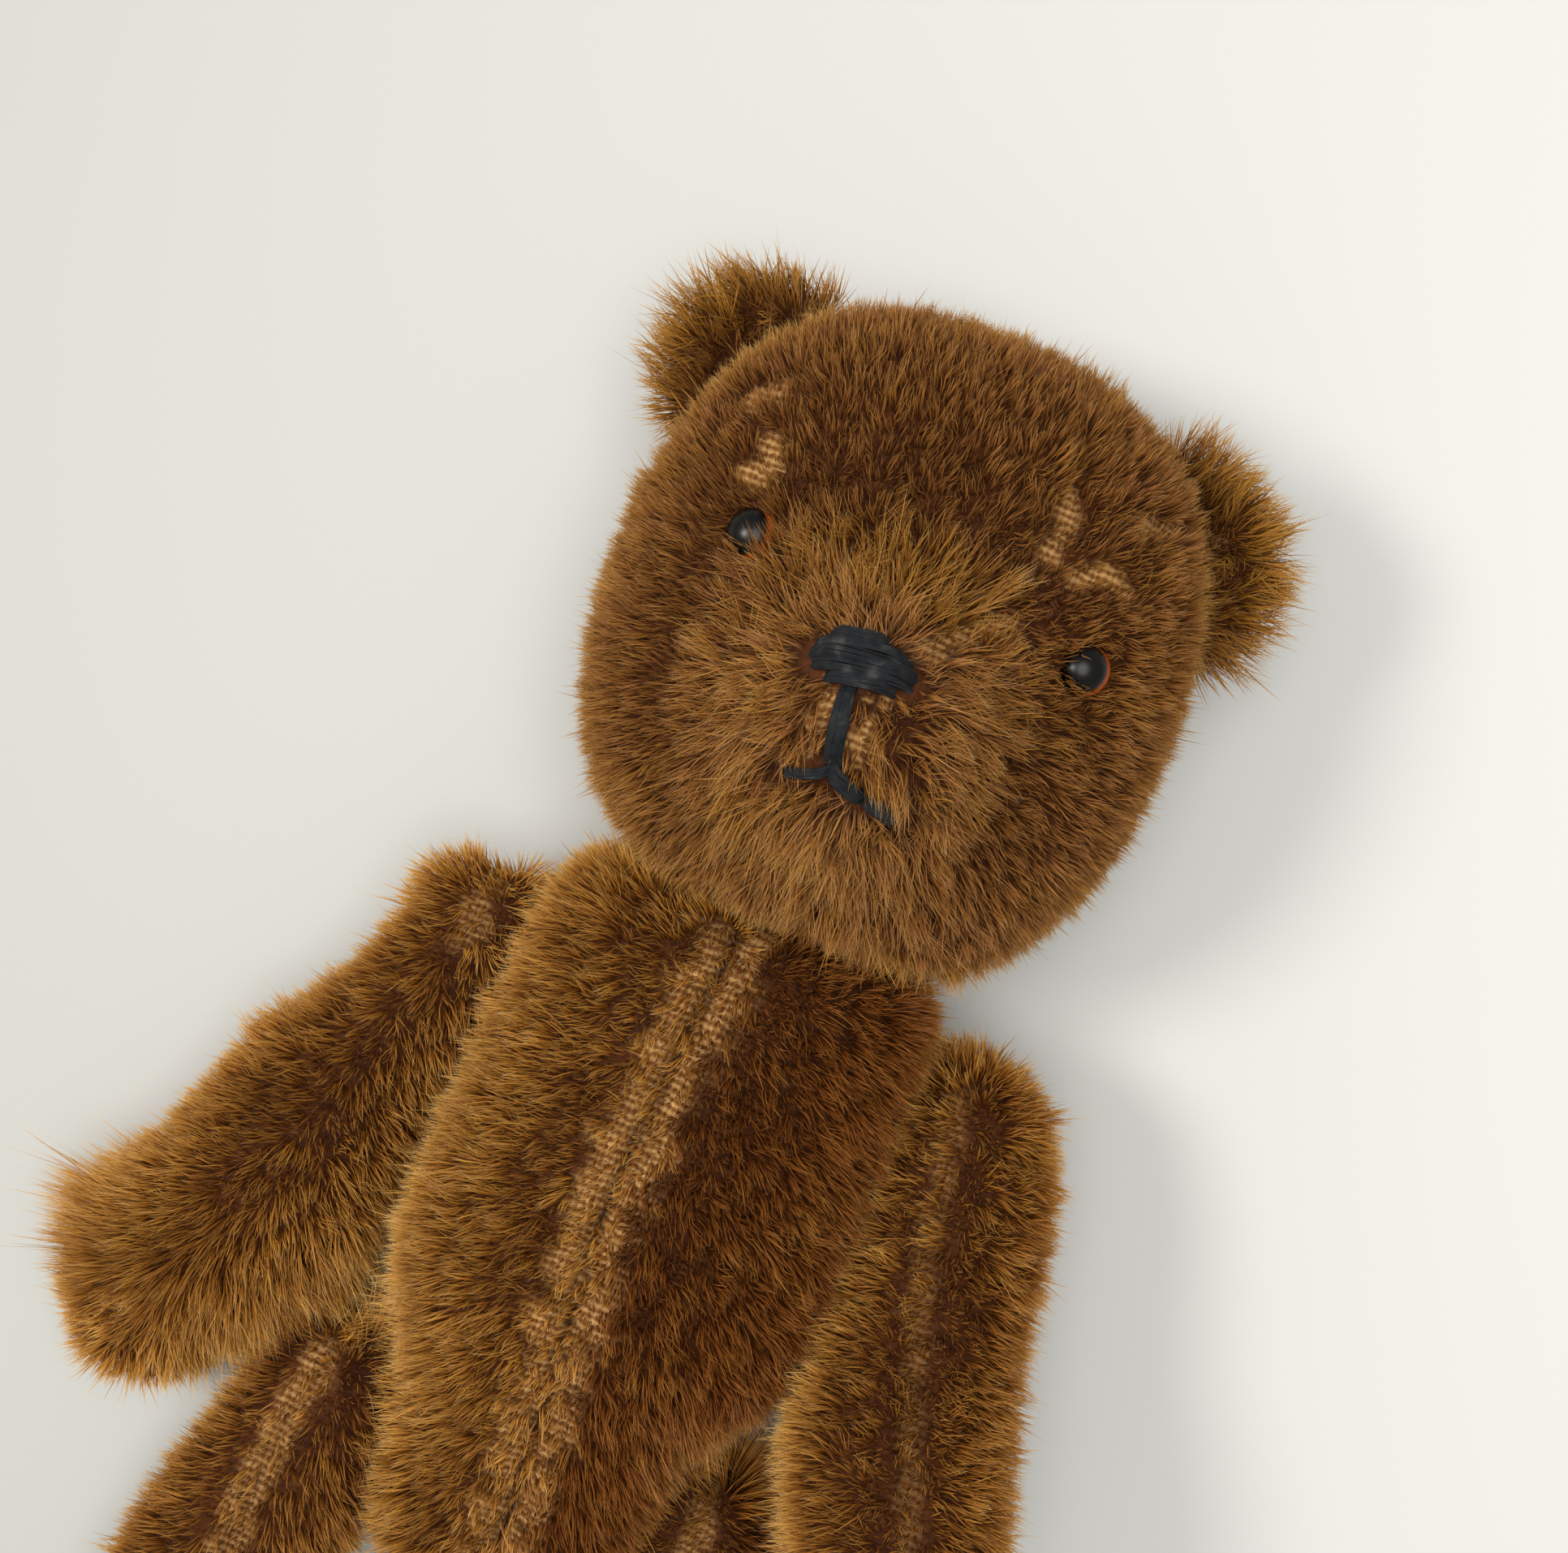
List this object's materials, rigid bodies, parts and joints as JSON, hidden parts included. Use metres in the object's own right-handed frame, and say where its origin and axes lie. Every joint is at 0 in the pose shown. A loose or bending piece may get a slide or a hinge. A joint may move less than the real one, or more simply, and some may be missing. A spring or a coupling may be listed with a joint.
{
  "type": "teddy bear",
  "caption": "Small jointed mohair bear with thin worn pile, cupped ears, glass eyes and a stitched nose; head, arms and legs turn on card discs",
  "frame": {"origin": "under the middle of the bear's box, on the table it lies on", "axes": "+Y from the feet to the head, +Z from the back up to the belly, +X to the bear's own left"},
  "size_m": [0.0734, 0.1476, 0.0411],
  "materials": {
    "mohair_plush": "woven mohair pile, brown, worn down to the tan backing along the seams",
    "wood_wool": "packed fine wood wool",
    "card": "pressed grey-brown card",
    "steel": "dulled steel wire and sheet",
    "eye_glass": "blown amber glass with a black pupil, nearly opaque",
    "floss": "black cotton embroidery thread, faded blue-grey"
  },
  "bodies": {
    "body": {"body_cover": "mohair_plush", "body_stuffing": "wood_wool", "neck_body_disc": "card", "arm_left_body_disc": "card", "arm_right_body_disc": "card", "leg_left_body_disc": "card", "leg_right_body_disc": "card"},
    "head": {"head_cover": "mohair_plush", "head_stuffing": "wood_wool", "eye_left": "eye_glass", "eye_right": "eye_glass", "ear_left": "mohair_plush", "ear_right": "mohair_plush", "nose_stitching": "floss", "mouth_stitching": "floss", "neck_limb_disc": "card", "neck_limb_washer": "steel", "neck_body_washer": "steel", "neck_cotter_pin": "steel"},
    "arm_left": {"arm_left_cover": "mohair_plush", "arm_left_stuffing": "wood_wool", "arm_left_limb_disc": "card", "arm_left_limb_washer": "steel", "arm_left_body_washer": "steel", "arm_left_cotter_pin": "steel"},
    "arm_right": {"arm_right_cover": "mohair_plush", "arm_right_stuffing": "wood_wool", "arm_right_limb_disc": "card", "arm_right_limb_washer": "steel", "arm_right_body_washer": "steel", "arm_right_cotter_pin": "steel"},
    "leg_left": {"leg_left_cover": "mohair_plush", "leg_left_stuffing": "wood_wool", "leg_left_limb_disc": "card", "leg_left_limb_washer": "steel", "leg_left_body_washer": "steel", "leg_left_cotter_pin": "steel"},
    "leg_right": {"leg_right_cover": "mohair_plush", "leg_right_stuffing": "wood_wool", "leg_right_limb_disc": "card", "leg_right_limb_washer": "steel", "leg_right_body_washer": "steel", "leg_right_cotter_pin": "steel"}
  },
  "joints": [
    {"name": "neck_turn", "type": "hinge", "parent": "body", "child": "head", "pos_m": [0.00378, 0.02775, 0.0132], "axis": [0, 1, 0], "continuous": true},
    {"name": "arm_left_swing", "type": "hinge", "parent": "body", "child": "arm_left", "pos_m": [0.01808, 0.01805, 0.0126], "axis": [-1, 0, 0], "range_deg": [-155, 105]},
    {"name": "arm_right_swing", "type": "hinge", "parent": "body", "child": "arm_right", "pos_m": [-0.01272, 0.01805, 0.0118], "axis": [-1, 0, 0], "range_deg": [-155, 150]},
    {"name": "leg_left_swing", "type": "hinge", "parent": "body", "child": "leg_left", "pos_m": [0.01108, -0.01985, 0.01], "axis": [-1, 0, 0], "range_deg": [-90, 95]},
    {"name": "leg_right_swing", "type": "hinge", "parent": "body", "child": "leg_right", "pos_m": [-0.00832, -0.01985, 0.01], "axis": [-1, 0, 0], "range_deg": [-90, 95]}
  ]
}
